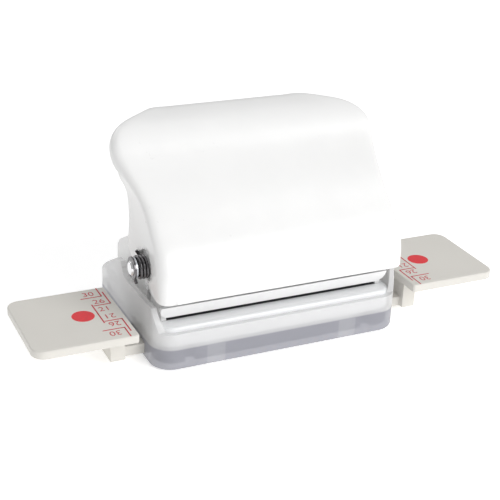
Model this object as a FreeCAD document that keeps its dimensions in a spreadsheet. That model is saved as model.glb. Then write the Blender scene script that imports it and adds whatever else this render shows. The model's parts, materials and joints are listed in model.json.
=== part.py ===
"""Desk punch for six loose-leaf holes: one FreeCAD document, one node per separate piece.

Millimetres, +Z up, +X along the row of punches. X = 0 is the middle of the row, Y = 0 is the
line through the punch centres, Z = 0 is the table the chip tray stands on. Paper enters from -Y.
"""
import FreeCAD, Part
import math
import os
from FreeCAD import Placement, Rotation, Vector

DOC = FreeCAD.newDocument("desk_punch")
SHEET = DOC.addObject("Spreadsheet::Sheet", "Sizes")

# Every driving size: alias, value in millimetres (or degrees, or a count), what it is.
SIZES = (
    ("hole_pitch", 9.5, "distance between neighbouring punch centres"),
    ("punch_count", 6, "number of punches in the row"),
    ("punch_diameter", 6.0, "diameter of each punch and of the hole it cuts"),
    ("head_diameter", 8.0, "diameter of the head on each punch"),
    ("running_gap", 0.05, "radial gap of a punch or rod that slides in its hole"),
    ("side_gap", 0.3, "gap between flat pieces that move past each other"),
    ("sheet_steel", 1.5, "thickness of the cheeks and of the lever frame"),
    ("press_travel", 4.4, "how far the punches go down"),
    ("paper_gap", 1.1, "height of the slot the paper slides into"),
    ("stop_distance", 6.5, "punch centre line to the paper stop"),
    ("table_height", 12.1, "top of the base, where the paper lies"),
    ("table_thickness", 2.6, "thickness of the top of the base"),
    ("die_thickness", 1.8, "thickness of the die plate"),
    ("guide_thickness", 1.2, "thickness of the guide plate over the paper slot"),
    ("guide_front", 9.6, "punch line to the front edge of the guide plate"),
    ("lip_height", 3.7, "height of the folded front lip of the guide plate"),
    ("pivot_forward", 4.6, "pivot rod in front of the punch line"),
    ("pivot_height", 26.9, "pivot rod above the table"),
    ("pivot_diameter", 4.0, "diameter of the pivot rod"),
    ("pin_diameter", 2.5, "diameter of the guide pins in the cheek slots"),
    ("pin_height", 18.7, "guide pins above the table at rest"),
    ("head_height", 22.5, "underside of the punch heads at rest"),
    ("tray_front", 15.5, "punch line to the front wall of the chip tray"),
    ("tray_depth", 50.3, "chip tray from front to back"),
    ("tray_margin", 3.6, "outer face of a cheek to the outer face of the tray"),
    ("tray_corner", 6.2, "corner radius of the tray in plan"),
    ("tray_wall", 1.5, "thickness of the tray walls"),
    ("tray_floor", 1.5, "thickness of the tray floor"),
    ("tray_rim", 10.9, "height of the front and back rim of the tray"),
    ("side_rim", 17.4, "height of the side walls of the tray"),
    ("lug_rim", 20.8, "height of the raised part behind the lever relief"),
    ("cover_height", 59.5, "top of the lever cover above the table"),
    ("cover_bottom", 20.2, "bottom edge of the lever cover above the table"),
    ("cover_front", 16.3, "punch line to the front of the lever cover"),
    ("cover_reach", 48.8, "lever cover from front to back"),
    ("cover_wall", 1.6, "wall thickness of the lever cover"),
    ("grip_flare", 4.2, "how much wider the grip is than the neck, on each side"),
    ("arm_gap", 4.4, "side of the tray to the inner edge of a guide paddle"),
    ("paddle_length", 28.1, "length of a guide paddle along X"),
    ("paddle_depth", 30.0, "depth of a guide paddle along Y"),
    ("paddle_top", 12.65, "top face of a guide paddle above the table"),
    ("paddle_thickness", 2.3, "thickness of a guide paddle"),
    ("paddle_corner", 3.5, "radius of the outer corners of a guide paddle"),
    ("leg_width", 4.2, "thickness of the leg under a paddle"),
    ("leg_depth", 15.2, "depth of the leg under a paddle"),
    ("tongue_depth", 12.0, "depth of the tongue that slides in the tray"),
    ("tongue_thickness", 3.0, "thickness of the tongue"),
    ("tongue_reach", 19.0, "how far the tongue reaches into the tray"),
    ("spring_wire", 0.6, "wire of the six return springs"),
    ("coil_wire", 0.85, "wire of the side spring"),
    ("coil_diameter", 5.7, "middle diameter of the side spring"),
)

for row, (alias, value, meaning) in enumerate(SIZES, start=1):
    SHEET.set(f"A{row}", alias)
    SHEET.set(f"B{row}", str(value))
    SHEET.set(f"C{row}", meaning)
    SHEET.setAlias(f"B{row}", alias)
DOC.recompute()


def size(alias):
    """Return one driving size from the sheet."""
    return float(SHEET.get(alias))


# ---- sizes that follow from the sheet -------------------------------------------------------
COUNT = int(size("punch_count"))
HALF_ROW = size("hole_pitch") * (COUNT - 1) / 2
PUNCH_X = [index * size("hole_pitch") - HALF_ROW for index in range(COUNT)]
GAP = size("side_gap")
SHEET_STEEL = size("sheet_steel")

FLANGE_IN = HALF_ROW + size("head_diameter") / 2 + 0.45
FLANGE_OUT = FLANGE_IN + SHEET_STEEL
LEVER_IN = FLANGE_OUT + 2 * GAP
LEVER_OUT = LEVER_IN + SHEET_STEEL
CHEEK_IN = LEVER_OUT + GAP
CHEEK_OUT = CHEEK_IN + SHEET_STEEL
COVER_IN = CHEEK_OUT + 0.5
NECK_HALF = COVER_IN + size("cover_wall")
TRAY_HALF = CHEEK_OUT + size("tray_margin")
TRAY_IN = TRAY_HALF - size("tray_wall")
PADDLE_IN = TRAY_HALF + size("arm_gap")
PADDLE_OUT = PADDLE_IN + size("paddle_length")

TRAY_FRONT = -size("tray_front")
TRAY_BACK = TRAY_FRONT + size("tray_depth")
HOUSING_GAP = 0.25
TABLE = size("table_height")
GUIDE_BOTTOM = TABLE + size("paper_gap")
GUIDE_TOP = GUIDE_BOTTOM + size("guide_thickness")
STOP = size("stop_distance")
STOP_DEPTH = 3.0
PIVOT = Vector(0, -size("pivot_forward"), size("pivot_height"))
PIVOT_RADIUS = size("pivot_diameter") / 2
HEAD = size("head_height")
HEAD_THICKNESS = 1.5
PRESS_BOTTOM = HEAD + HEAD_THICKNESS
PRESS_THICKNESS = 1.2
PRESS_TOP = PRESS_BOTTOM + PRESS_THICKNESS
PRESS_FRONT = PIVOT.y + PIVOT_RADIUS + 2 * GAP
PRESS_BACK = 7.4
PIN = size("pin_diameter")
PIN_Z = size("pin_height")
HALF_STROKE = math.radians(18)
CHEEK_FRONT = PIVOT.y - 4.4
ROLLER_ARM = size("press_travel") / (2 * math.sin(HALF_STROKE))
ROLLER = PIVOT + Vector(0, ROLLER_ARM * math.cos(HALF_STROKE), ROLLER_ARM * math.sin(HALF_STROKE))
ROLLER_RADIUS = ROLLER.z - PRESS_TOP - 0.1
COIL_STEP = size("coil_wire") + 0.03
COIL_START = NECK_HALF + 0.1 + size("coil_wire") / 2
COIL_TURNS = 3
COIL_END = COIL_START + COIL_TURNS * COIL_STEP
WASHER_IN = COIL_END + size("coil_wire") / 2 + 0.05
WASHER_THICKNESS = 0.4
CLIP_IN = WASHER_IN + WASHER_THICKNESS + 0.05
CLIP_THICKNESS = 0.5
ROD_LEFT = CLIP_IN + CLIP_THICKNESS + 0.5
ROD_HEAD = 0.5
ROD_RIGHT = NECK_HALF + 0.05 + ROD_HEAD
HUB_RECESS = 4.6
PIN_END = CHEEK_OUT + 0.6


# ---- helpers --------------------------------------------------------------------------------
def box(x0, x1, y0, y1, z0, z1):
    """Return a box between two corners."""
    return Part.makeBox(x1 - x0, y1 - y0, z1 - z0, Vector(x0, y0, z0))


def rod_x(radius, x0, x1, y, z):
    """Return a round bar along X."""
    return Part.makeCylinder(radius, x1 - x0, Vector(x0, y, z), Vector(1, 0, 0))


def rod_z(radius, x, y, z0, z1):
    """Return a round bar along Z."""
    return Part.makeCylinder(radius, z1 - z0, Vector(x, y, z0), Vector(0, 0, 1))


def rod_between(radius, start, end):
    """Return a round bar between two points, with a ball at its far end."""
    bar = Part.makeCylinder(radius, (end - start).Length, start, end - start)
    return bar.fuse(Part.makeSphere(radius, end))


def plate_x(outline, x0, x1):
    """Return a plate with a closed (Y, Z) outline, standing between two X values."""
    corners = [Vector(x0, y, z) for y, z in outline]
    face = Part.Face(Part.makePolygon(corners + corners[:1]))
    return face.extrude(Vector(x1 - x0, 0, 0))


def rounded_block(half_x, y0, y1, z0, z1, radius):
    """Return a block whose four upright edges are rounded."""
    block = box(-half_x, half_x, y0, y1, z0, z1)
    upright = [edge for edge in block.Edges if abs(edge.Vertexes[0].Z - edge.Vertexes[-1].Z) > 0.1]
    return block.makeFillet(radius, upright)


def mirrored(shape):
    """Return the copy of a shape on the other side of X = 0."""
    return shape.mirror(Vector(0, 0, 0), Vector(1, 0, 0))


def joined(pieces):
    """Return several overlapping solids as one."""
    return pieces[0].multiFuse(pieces[1:]).removeSplitter()


def node(name, shape):
    """Add one finished piece to the document under its node name."""
    feature = DOC.addObject("Part::Feature", name)
    feature.Label = name
    feature.Shape = shape
    NODES.append(feature)
    return feature


def pair(name, left_shape):
    """Add a left piece and its mirror image on the right."""
    node(f"{name}_left", left_shape)
    node(f"{name}_right", mirrored(left_shape))


def bound_box(name, expressions, position):
    """Return a Part::Box whose three sizes and corner are bound to the sheet."""
    solid = DOC.addObject("Part::Box", name)
    for axis, rule in zip(("Length", "Width", "Height"), expressions):
        solid.setExpression(axis, rule)
    for axis, rule in zip(("x", "y", "z"), position):
        solid.setExpression(f"Placement.Base.{axis}", rule)
    return solid


def bound_cylinder(name, radius, height, position, turn=None):
    """Return a Part::Cylinder whose sizes and place are bound to the sheet."""
    solid = DOC.addObject("Part::Cylinder", name)
    if turn is not None:
        solid.Placement = Placement(Vector(0, 0, 0), turn)
    solid.setExpression("Radius", radius)
    solid.setExpression("Height", height)
    for axis, rule in zip(("x", "y", "z"), position):
        solid.setExpression(f"Placement.Base.{axis}", rule)
    return solid


NODES = []

# ---- punches: head and shaft with a hollow-ground tip ----------------------------------------
for number, x in enumerate(PUNCH_X, start=1):
    offset = f"({number} - (Sizes.punch_count + 1) / 2) * Sizes.hole_pitch"
    shaft = bound_cylinder(
        f"shaft_{number}",
        "Sizes.punch_diameter / 2",
        "Sizes.head_height + 0.2 - Sizes.table_height - Sizes.paper_gap - 0.35",
        (offset, "0", "Sizes.table_height + Sizes.paper_gap + 0.35"),
    )
    head = bound_cylinder(
        f"head_{number}",
        "Sizes.head_diameter / 2",
        str(HEAD_THICKNESS),
        (offset, "0", "Sizes.head_height"),
    )
    blank = DOC.addObject("Part::MultiFuse", f"blank_{number}")
    blank.Shapes = [shaft, head]
    grind = bound_cylinder(
        f"grind_{number}",
        "Sizes.punch_diameter * 0.9",
        "Sizes.punch_diameter * 2",
        (
            offset,
            "-Sizes.punch_diameter",
            "Sizes.table_height + Sizes.paper_gap + 1.15 - Sizes.punch_diameter * 0.9",
        ),
        Rotation(Vector(1, 0, 0), -90),
    )
    punch = DOC.addObject("Part::Cut", f"punch_{number}")
    punch.Base = blank
    punch.Tool = grind
    punch.Label = f"punch_{number}"
    NODES.append(punch)

# ---- die plate: bound block with one bound hole per punch ------------------------------------
DIE_HALF = FLANGE_IN + 0.8
DIE_FRONT = -7.0
DIE_BACK = STOP - 0.3
die_blank = DOC.addObject("Part::Box", "die_blank")
die_blank.setExpression("Height", "Sizes.die_thickness")
die_blank.setExpression("Placement.Base.z", "Sizes.table_height - Sizes.die_thickness")
die_blank.Length = 2 * DIE_HALF
die_blank.Width = DIE_BACK - DIE_FRONT
die_blank.setExpression("Placement.Base.x", "-Length / 2")
die_blank.setExpression("Placement.Base.y", str(DIE_FRONT))
die_holes = DOC.addObject("Part::MultiFuse", "die_holes")
die_holes.Shapes = [
    bound_cylinder(
        f"die_hole_{number}",
        "Sizes.punch_diameter / 2 + Sizes.running_gap",
        "Sizes.die_thickness + 2",
        (
            f"({number} - (Sizes.punch_count + 1) / 2) * Sizes.hole_pitch",
            "0",
            "Sizes.table_height - Sizes.die_thickness - 1",
        ),
    )
    for number in range(1, COUNT + 1)
]
die_plate = DOC.addObject("Part::Cut", "die_plate")
die_plate.Base = die_blank
die_plate.Tool = die_holes
die_plate.Label = "die_plate"
NODES.append(die_plate)

# ---- paper stop: bound bar behind the punches ------------------------------------------------
stop_blank = bound_box(
    "paper_stop_blank",
    (str(2 * CHEEK_IN), str(STOP_DEPTH), "Sizes.paper_gap"),
    ("-Length / 2", "Sizes.stop_distance", "Sizes.table_height"),
)

# ---- base housing: the white table with its hollow underside ----------------------------------
HOUSING_HALF = TRAY_IN - HOUSING_GAP
HOUSING_FRONT = TRAY_FRONT + size("tray_wall") + HOUSING_GAP
HOUSING_BACK = TRAY_BACK - size("tray_wall") - HOUSING_GAP
HOUSING_CORNER = size("tray_corner") - size("tray_wall") - HOUSING_GAP
HOUSING_BOTTOM = 6.3
HOUSING_WALL = 1.6
TABLE_UNDER = TABLE - size("table_thickness")
SCREW_X = (HALF_ROW - size("hole_pitch") / 2, size("hole_pitch") / 2)
SCREW_Y = STOP + STOP_DEPTH / 2
SCREW_RADIUS = 1.0
TABS = ((PIVOT.y - 2.5, PIVOT.y + 3.5), (13.0, 19.0))
CLIP_SPAN = (17.4, 22.7)
CLIP_FOOT = 2.4

housing = rounded_block(
    HOUSING_HALF, HOUSING_FRONT, HOUSING_BACK, HOUSING_BOTTOM, TABLE, HOUSING_CORNER
)
top_edges = [edge for edge in housing.Edges if edge.BoundBox.ZMin > TABLE - 0.01]
housing = housing.makeFillet(1.0, top_edges)
hollow = rounded_block(
    HOUSING_HALF - HOUSING_WALL,
    HOUSING_FRONT + HOUSING_WALL,
    HOUSING_BACK - HOUSING_WALL,
    HOUSING_BOTTOM - 1,
    TABLE_UNDER,
    HOUSING_CORNER - HOUSING_WALL,
)
die_seat = box(-DIE_HALF, DIE_HALF, DIE_FRONT, DIE_BACK, TABLE - size("die_thickness"), TABLE + 1)
chip_window = box(
    -DIE_HALF + 1.2, DIE_HALF - 1.2, DIE_FRONT + 1.2, DIE_BACK - 1.2, TABLE_UNDER - 1, TABLE
)
housing = housing.cut(hollow).cut(die_seat).cut(chip_window)
for side in (-1, 1):
    inner, outer = sorted((side * (CHEEK_IN - 0.1), side * (CHEEK_OUT + 0.1)))
    for front, back in TABS:
        housing = housing.cut(box(inner, outer, front - 0.1, back + 0.1, TABLE_UNDER - 1, TABLE + 1))
    for x in SCREW_X:
        housing = housing.cut(rod_z(SCREW_RADIUS, side * x, SCREW_Y, TABLE_UNDER - 1, TABLE + 1))
    clip_in, clip_out = sorted((side * CLIP_SPAN[0], side * CLIP_SPAN[1]))
    for front, back in ((HOUSING_FRONT, HOUSING_FRONT + 1.4), (HOUSING_BACK - 1.4, HOUSING_BACK)):
        snap = box(clip_in, clip_out, front, back, CLIP_FOOT, HOUSING_BOTTOM + 1)
        housing = housing.fuse(snap)
node("base_housing", housing.removeSplitter())

# ---- guide plate: folded sheet with the front lip --------------------------------------------
lip_lean = 1.6
lip = size("lip_height")
thick = size("guide_thickness")
front = -size("guide_front")
guide_outline = (
    (front, GUIDE_BOTTOM),
    (STOP + STOP_DEPTH, GUIDE_BOTTOM),
    (STOP + STOP_DEPTH, GUIDE_TOP),
    (front + 1.1, GUIDE_TOP),
    (front - lip_lean + thick, GUIDE_BOTTOM + lip),
    (front - lip_lean, GUIDE_BOTTOM + lip),
)
guide = plate_x(guide_outline, -CHEEK_IN, CHEEK_IN)
lip_outline = (
    (front, GUIDE_BOTTOM),
    (CHEEK_FRONT - 0.1, GUIDE_BOTTOM),
    (CHEEK_FRONT - 0.1, GUIDE_TOP),
    (front + 1.1, GUIDE_TOP),
    (front - lip_lean + thick, GUIDE_BOTTOM + lip),
    (front - lip_lean, GUIDE_BOTTOM + lip),
)
lip_half = CHEEK_OUT + 0.7
lip_bar = plate_x(lip_outline, -lip_half, lip_half)
end_shape = box(-lip_half, lip_half, front - 5, 0, GUIDE_BOTTOM, GUIDE_BOTTOM + lip)
end_edges = [
    edge
    for edge in end_shape.Edges
    if edge.BoundBox.YLength > 1 and edge.BoundBox.ZMax < GUIDE_BOTTOM + 0.01
]
guide = guide.fuse(lip_bar.common(end_shape.makeFillet(2.6, end_edges))).removeSplitter()
for x in PUNCH_X:
    radius = size("punch_diameter") / 2 + size("running_gap")
    guide = guide.cut(rod_z(radius, x, 0, GUIDE_BOTTOM - 1, GUIDE_TOP + 1))
for side in (-1, 1):
    inner, outer = sorted((side * (FLANGE_IN - GAP), side * (CHEEK_IN + 1)))
    guide = guide.cut(box(inner, outer, -3.6, 3.6, GUIDE_BOTTOM - 1, GUIDE_TOP + 1))
    for x in SCREW_X:
        guide = guide.cut(rod_z(SCREW_RADIUS, side * x, SCREW_Y, GUIDE_BOTTOM - 1, GUIDE_TOP + 1))
node("guide_plate", guide)

screw_holes = [
    rod_z(SCREW_RADIUS, side * x, SCREW_Y, TABLE - 1, GUIDE_TOP) for side in (-1, 1) for x in SCREW_X
]
DOC.recompute()
node("paper_stop", stop_blank.Shape.cut(Part.makeCompound(screw_holes)))

screws = []
for side in (-1, 1):
    for x in SCREW_X:
        shank = rod_z(SCREW_RADIUS, side * x, SCREW_Y, TABLE_UNDER + 0.4, GUIDE_TOP)
        head = rod_z(2.0, side * x, SCREW_Y, GUIDE_TOP, GUIDE_TOP + 1.3)
        slot = box(side * x - 2.5, side * x + 2.5, SCREW_Y - 0.3, SCREW_Y + 0.3, GUIDE_TOP + 0.7, GUIDE_TOP + 2)
        screws.append(shank.fuse(head).cut(slot))
node("frame_screws", Part.makeCompound(screws))

# ---- cheeks: two upright plates that carry the rod and guide the pins --------------------------
cheek_outline = (
    (CHEEK_FRONT, TABLE),
    (TABS[0][0], TABLE),
    (TABS[0][0], TABLE_UNDER),
    (TABS[0][1], TABLE_UNDER),
    (TABS[0][1], TABLE),
    (TABS[1][0], TABLE),
    (TABS[1][0], TABLE_UNDER),
    (TABS[1][1], TABLE_UNDER),
    (TABS[1][1], TABLE),
    (26.1, TABLE),
    (26.1, 19.9),
    (24.3, 22.2),
    (14.8, 27.6),
    (3.0, PIVOT.z + 3.4),
    (PIVOT.y - 3.0, PIVOT.z + 3.4),
    (CHEEK_FRONT, PIVOT.z + 0.8),
)
cheek = plate_x(cheek_outline, -CHEEK_OUT, -CHEEK_IN)
soft = [
    edge
    for edge in cheek.Edges
    if abs(edge.Vertexes[0].X - edge.Vertexes[-1].X) > SHEET_STEEL / 2 and edge.BoundBox.ZMin > 19
]
cheek = cheek.makeFillet(1.6, soft)
slot_half = PIN / 2 + 0.15
slot_low = PIN_Z - size("press_travel") - 0.2
slot_high = PIN_Z + 0.7
slot = box(-CHEEK_OUT - 1, -CHEEK_IN + 1, -slot_half, slot_half, slot_low, slot_high)
for z in (slot_low, slot_high):
    slot = slot.fuse(rod_x(slot_half, -CHEEK_OUT - 1, -CHEEK_IN + 1, 0, z))
cheek = cheek.cut(slot).cut(rod_x(PIVOT_RADIUS, -CHEEK_OUT - 1, -CHEEK_IN + 1, PIVOT.y, PIVOT.z))
pair("cheek", cheek)

# ---- pivot rod: headed on the right, held on the left by a washer and a clip -------------------
CLIP_X = -CLIP_IN
CLIP_GROOVE = PIVOT_RADIUS - 0.5
rod = rod_x(PIVOT_RADIUS, -ROD_LEFT, ROD_RIGHT, PIVOT.y, PIVOT.z)
rod = rod.makeChamfer(0.4, [edge for edge in rod.Edges if edge.BoundBox.XMax < -ROD_LEFT + 0.01])
collar = rod_x(PIVOT_RADIUS + 1, CLIP_X - CLIP_THICKNESS, CLIP_X, PIVOT.y, PIVOT.z)
rod = rod.cut(collar.cut(rod_x(CLIP_GROOVE, -ROD_LEFT, 0, PIVOT.y, PIVOT.z)))
head = rod_x(3.2, ROD_RIGHT - ROD_HEAD, ROD_RIGHT, PIVOT.y, PIVOT.z)
node("pivot_rod", rod.fuse(head).removeSplitter())

clip = rod_x(3.1, CLIP_X - CLIP_THICKNESS, CLIP_X, PIVOT.y, PIVOT.z)
clip = clip.cut(rod_x(CLIP_GROOVE, CLIP_X - 1, CLIP_X + 1, PIVOT.y, PIVOT.z))
mouth = box(CLIP_X - 1, CLIP_X + 1, PIVOT.y - 1.1, PIVOT.y + 1.1, PIVOT.z - 5, PIVOT.z)
node("pivot_clip", clip.cut(mouth))
washer_x = -WASHER_IN - WASHER_THICKNESS
washer = rod_x(2.9, washer_x, -WASHER_IN, PIVOT.y, PIVOT.z)
washer = washer.cut(rod_x(PIVOT_RADIUS, washer_x - 1, -WASHER_IN + 1, PIVOT.y, PIVOT.z))
node("pivot_washer", washer)


# ---- side spring: a coil round the left end of the rod, one leg up and back, one down to the pin
# Each turn is a closed ring, and a short link joins it to the next one.
COIL_LEAN = 110.0
UP_LEG = 4.2
DOWN_LEG = 4.6
LEG_SHIFT = 0.4


def side_spring():
    """Return the coil joined to its two legs, which stand clear of the lever cover."""
    wire = size("coil_wire") / 2
    radius = size("coil_diameter") / 2
    lean = math.radians(COIL_LEAN)
    inner_end = Vector(-COIL_START, PIVOT.y + radius * math.sin(lean), PIVOT.z + radius * math.cos(lean))
    outer_end = Vector(-COIL_END, inner_end.y, inner_end.z)
    way = Vector(0, math.cos(lean), -math.sin(lean))
    turns = [
        Part.makeTorus(radius, wire, Vector(-COIL_START - turn * COIL_STEP, PIVOT.y, PIVOT.z), Vector(1, 0, 0))
        for turn in range(COIL_TURNS + 1)
    ]
    link = Part.makeCylinder(wire * 0.8, COIL_END - COIL_START, outer_end, Vector(1, 0, 0))
    legs = [
        rod_between(wire, inner_end, inner_end - way * UP_LEG - Vector(COIL_STEP + LEG_SHIFT, 0, 0)),
        rod_between(wire, outer_end, outer_end + way * DOWN_LEG + Vector(LEG_SHIFT, 0, 0)),
    ]
    return link.multiFuse(turns + legs)


node("side_spring", side_spring())

# ---- return springs: one round each punch, between the guide plate and the punch head ---------
# Each turn is a closed ring, and short links on alternate sides join the rings.
SPRING_WIRE = size("spring_wire") / 2
SPRING_RADIUS = size("punch_diameter") / 2 + 0.2 + SPRING_WIRE
SPRING_TURNS = 6
SPRING_LOW = GUIDE_TOP + SPRING_WIRE + 0.02
SPRING_STEP = (HEAD - SPRING_WIRE - 0.02 - SPRING_LOW) / (SPRING_TURNS - 1)
for number, x in enumerate(PUNCH_X, start=1):
    rings = [
        Part.makeTorus(SPRING_RADIUS, SPRING_WIRE, Vector(x, 0, SPRING_LOW + turn * SPRING_STEP))
        for turn in range(SPRING_TURNS)
    ]
    links = [
        rod_z(
            SPRING_WIRE * 0.8,
            x,
            SPRING_RADIUS * (-1) ** turn,
            SPRING_LOW + turn * SPRING_STEP,
            SPRING_LOW + (turn + 1) * SPRING_STEP,
        )
        for turn in range(SPRING_TURNS - 1)
    ]
    node(f"return_spring_{number}", rings[0].multiFuse(rings[1:] + links))

# ---- press bar: channel over the punch heads with a guide pin at each end ---------------------
FLANGE_LOW = PIN_Z - PIN / 2 - 0.1
press = box(-FLANGE_OUT, FLANGE_OUT, PRESS_FRONT, PRESS_BACK, PRESS_BOTTOM, PRESS_TOP)
for side in (-1, 1):
    inner, outer = sorted((side * FLANGE_IN, side * FLANGE_OUT))
    flange = box(inner, outer, PRESS_FRONT, 3.0, FLANGE_LOW, PRESS_TOP)
    press = press.fuse(flange)
    press = press.cut(rod_x(PIN / 2, inner - 1, outer + 1, 0, PIN_Z))
rib = box(-FLANGE_IN, FLANGE_IN, PRESS_BACK - 1.2, PRESS_BACK, PRESS_BOTTOM - 3.2, PRESS_BOTTOM)
node("press_bar", press.fuse(rib).removeSplitter())

pins = []
for side in (-1, 1):
    inner, outer = sorted((side * FLANGE_IN, side * PIN_END))
    pins.append(rod_x(PIN / 2, inner, outer, 0, PIN_Z))
node("guide_pins", Part.makeCompound(pins))

# ---- lever cover: a thin moulded shell, built from stations up its front ----------------------
# Each station: front point and rim point as fractions of reach and rise, half-width over the
# neck as a fraction of the flare, and how far the rim curls inwards in millimetres.
STATIONS = (
    (0.000, 0.000, 0.527, 0.066, 0.20, 0.0),
    (0.002, 0.084, 0.516, 0.142, 0.22, 0.0),
    (0.012, 0.170, 0.508, 0.232, 0.20, 0.0),
    (0.037, 0.252, 0.508, 0.300, 0.15, 0.0),
    (0.084, 0.338, 0.516, 0.366, 0.09, 0.0),
    (0.170, 0.445, 0.535, 0.458, 0.06, 0.0),
    (0.264, 0.560, 0.557, 0.542, 0.10, 0.1),
    (0.381, 0.669, 0.574, 0.616, 0.36, 0.5),
    (0.484, 0.756, 0.578, 0.682, 0.70, 1.2),
    (0.537, 0.812, 0.596, 0.746, 0.88, 2.0),
    (0.588, 0.883, 0.637, 0.812, 0.92, 2.4),
    (0.652, 0.939, 0.691, 0.860, 0.70, 2.4),
    (0.727, 0.977, 0.754, 0.891, 0.10, 2.2),
    (0.799, 0.995, 0.809, 0.911, -1.05, 2.0),
    (0.863, 1.000, 0.861, 0.921, -2.10, 1.8),
    (0.924, 0.980, 0.908, 0.908, -2.70, 1.8),
    (0.971, 0.926, 0.932, 0.891, -3.10, 1.8),
    (0.994, 0.850, 0.943, 0.840, -3.40, 1.8),
)
CORNER_STEPS = 4
SIDE_STEPS = 4
FRONT_STEPS = 6
CORNER_RADIUS = 3.0


def cover_row(station, inset):
    """Return the points of one U-shaped row of the cover, set inwards by a wall thickness."""
    reach = size("cover_reach")
    rise = size("cover_height") - size("cover_bottom")
    start_y = -size("cover_front")
    start_z = size("cover_bottom")
    face = Vector(0, start_y + station[0] * reach, start_z + station[1] * rise)
    rim = Vector(0, start_y + station[2] * reach, start_z + station[3] * rise)
    depth_way = (rim - face).normalize()
    depth = (rim - face).Length - inset
    face = face + depth_way * inset
    half = NECK_HALF + station[4] * size("grip_flare") - inset
    radius = min(CORNER_RADIUS, depth * 0.8 + inset) - inset * 0.6
    points = []
    for step in range(SIDE_STEPS + 1):
        along = depth - (depth - radius) * step / (SIDE_STEPS + 1)
        curl = station[5] * ((along - radius) / (depth - radius)) ** 2
        points.append((-half + curl, along))
    for step in range(CORNER_STEPS + 1):
        angle = math.pi / 2 * step / CORNER_STEPS
        points.append((-half + radius * (1 - math.cos(angle)), radius * (1 - math.sin(angle))))
    for step in range(1, FRONT_STEPS):
        points.append(((-half + radius) + (half - radius) * step / FRONT_STEPS, 0.0))
    points.append((0.0, 0.0))
    points += [(-across, along) for across, along in reversed(points[:-1])]
    return [Vector(across, 0, 0) + face + depth_way * along for across, along in points]


def cover_surface(inset):
    """Return one smooth face through all rows of the cover."""
    surface = Part.BSplineSurface()
    surface.interpolate([cover_row(station, inset) for station in STATIONS])
    return surface.toShape()


def boundary(surface_face, index):
    """Return one border edge of a face: 0 and 1 are its ends, 2 and 3 its sides."""
    surface = surface_face.Surface
    u0, u1, v0, v1 = surface.bounds()
    curve = (
        surface.uIso(u0),
        surface.uIso(u1),
        surface.vIso(v0),
        surface.vIso(v1),
    )[index]
    return curve.toShape()


outside = cover_surface(0.0)
inside = cover_surface(size("cover_wall"))
rims = [Part.makeRuledSurface(boundary(outside, side), boundary(inside, side)) for side in range(4)]
shell = Part.Shell(Part.makeCompound([outside, inside] + rims).Faces)
shell.sewShape()
cover = Part.Solid(shell)
if cover.Volume < 0:
    cover.reverse()

# The lower edge runs from the front wall up round the rod and on to the rear of the side wall.
front_z = size("cover_bottom")
hub_low = PIVOT.z - 4.4
trim_outline = (
    (TRAY_FRONT - 5, front_z - 30),
    (TRAY_FRONT - 5, front_z),
    (-9.4, front_z),
    (PIVOT.y - 2.6, hub_low),
    (PIVOT.y + 4.6, hub_low),
    (10.0, PIVOT.z + 1.4),
    (30.0, PIVOT.z + 1.4),
    (30.0, front_z - 30),
)
trim = plate_x(trim_outline, -NECK_HALF - 20, NECK_HALF + 20)
cover = cover.cut(trim)
cover = cover.cut(
    rod_x(PIVOT_RADIUS + size("running_gap"), -NECK_HALF - 5, NECK_HALF + 5, PIVOT.y, PIVOT.z)
)
for side in (-1, 1):
    inner, outer = sorted((side * NECK_HALF, side * (NECK_HALF + 5)))
    cover = cover.cut(rod_x(HUB_RECESS, inner, outer, PIVOT.y, PIVOT.z))

# ---- lever frame: steel arms and web inside the cover -----------------------------------------
WEB_LOW = Vector(0, -7.4, 33.0)
WEB_HIGH = Vector(0, 1.2, 41.2)
web_way = (WEB_HIGH - WEB_LOW).normalize()
web_in = Vector(0, web_way.z, -web_way.y)
WEB_START = 1.1


def web_point(along, inward):
    """Return (Y, Z) of a point of the web, measured along it and in from the cover."""
    point = WEB_LOW + web_way * along + web_in * (WEB_START + inward)
    return (point.y, point.z)


web_length = (WEB_HIGH - WEB_LOW).Length
web = plate_x(
    (
        web_point(0, 0),
        web_point(web_length, 0),
        web_point(web_length, SHEET_STEEL),
        web_point(0, SHEET_STEEL),
    ),
    -LEVER_OUT,
    LEVER_OUT,
)
arm_outline = (
    web_point(0, 0),
    web_point(web_length, 0),
    web_point(web_length, SHEET_STEEL + 2.0),
    (ROLLER.y + 3.6, ROLLER.z + 1.0),
    (ROLLER.y + 2.6, ROLLER.z - 2.6),
    (ROLLER.y - 1.6, ROLLER.z - 3.4),
    (PIVOT.y + 1.4, PIVOT.z - 3.4),
    (PIVOT.y - 1.4, PIVOT.z - 3.4),
    (PIVOT.y - 3.4, PIVOT.z - 1.4),
    (PIVOT.y - 3.4, PIVOT.z + 1.8),
)
pieces = [web]
for side in (-1, 1):
    inner, outer = sorted((side * LEVER_IN, side * LEVER_OUT))
    pieces.append(plate_x(arm_outline, inner, outer))
lever = joined(pieces)
lever = lever.cut(
    rod_x(PIVOT_RADIUS + size("running_gap"), -LEVER_OUT - 1, LEVER_OUT + 1, PIVOT.y, PIVOT.z)
)
ROLLER_PIN = 2.0
lever = lever.cut(rod_x(ROLLER_PIN, -LEVER_OUT - 1, LEVER_OUT + 1, ROLLER.y, ROLLER.z))

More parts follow.
